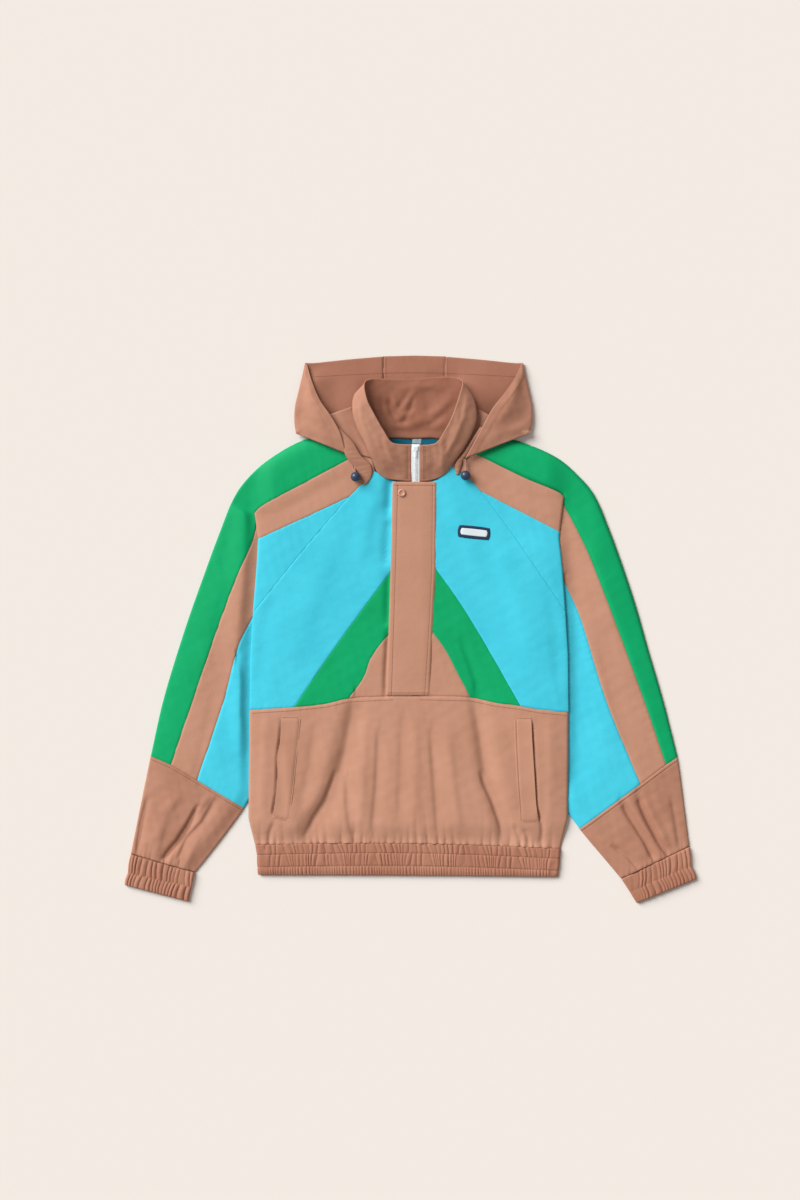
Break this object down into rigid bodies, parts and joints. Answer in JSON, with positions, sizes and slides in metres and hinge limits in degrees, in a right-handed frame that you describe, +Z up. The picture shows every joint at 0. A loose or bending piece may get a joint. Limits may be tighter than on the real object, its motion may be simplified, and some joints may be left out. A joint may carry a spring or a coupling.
{
  "type": "hooded pullover raincoat",
  "caption": "Hooded pullover rain jacket laid flat, face up, with raglan sleeves, stand collar, half zip under a placket, welt pockets and gathered hem and cuffs",
  "frame": {"origin": "middle of the underside's bounding box, on the table", "axes": "+Z is up from the table, +Y runs from the hem to the hood, +X runs across the arms to the wearer's left sleeve"},
  "size_m": [0.9996, 0.9568, 0.0389],
  "materials": {
    "brown_nylon": "matte crinkled nylon taffeta",
    "blue_nylon": "matte crinkled nylon taffeta",
    "green_nylon": "matte crinkled nylon taffeta",
    "zip_tape": "woven tape with moulded teeth",
    "teal_facing": "fine woven tape",
    "navy_patch": "small woven patch, plain",
    "elastic_cord": "braided elastic cord",
    "toggle_plastic": "moulded, slightly glossy",
    "snap_cap": "colour-matched cap, satin"
  },
  "bodies": {
    "root": {"back_body": "blue_nylon", "chest_L": "blue_nylon", "chest_R": "blue_nylon", "chest_patch": "navy_patch", "chevron_L": "green_nylon", "chevron_R": "green_nylon", "collar": "brown_nylon", "cord_L": "elastic_cord", "cord_R": "elastic_cord", "cuff_L": "brown_nylon", "cuff_R": "brown_nylon", "gore_L": "brown_nylon", "gore_R": "brown_nylon", "hem_band": "brown_nylon", "hood_casing_L": "brown_nylon", "hood_casing_R": "brown_nylon", "hood_crown": "brown_nylon", "hood_neck_L": "brown_nylon", "hood_neck_R": "brown_nylon", "hood_side_L": "brown_nylon", "hood_side_R": "brown_nylon", "lower_front": "brown_nylon", "lower_sleeve_L": "brown_nylon", "lower_sleeve_R": "brown_nylon", "neck_facing": "teal_facing", "placket": "brown_nylon", "pocket_welt_L": "brown_nylon", "pocket_welt_R": "brown_nylon", "raglan_L": "blue_nylon", "raglan_R": "blue_nylon", "shoulder_stripe_L": "brown_nylon", "shoulder_stripe_R": "brown_nylon", "sleeve_back_L": "blue_nylon", "sleeve_back_R": "blue_nylon", "sleeve_blue_L": "blue_nylon", "sleeve_blue_R": "blue_nylon", "sleeve_green_L": "green_nylon", "sleeve_green_R": "green_nylon", "sleeve_stripe_L": "brown_nylon", "sleeve_stripe_R": "brown_nylon", "snap": "snap_cap", "toggle_L": "toggle_plastic", "toggle_R": "toggle_plastic", "zip": "zip_tape"}
  },
  "joints": []
}
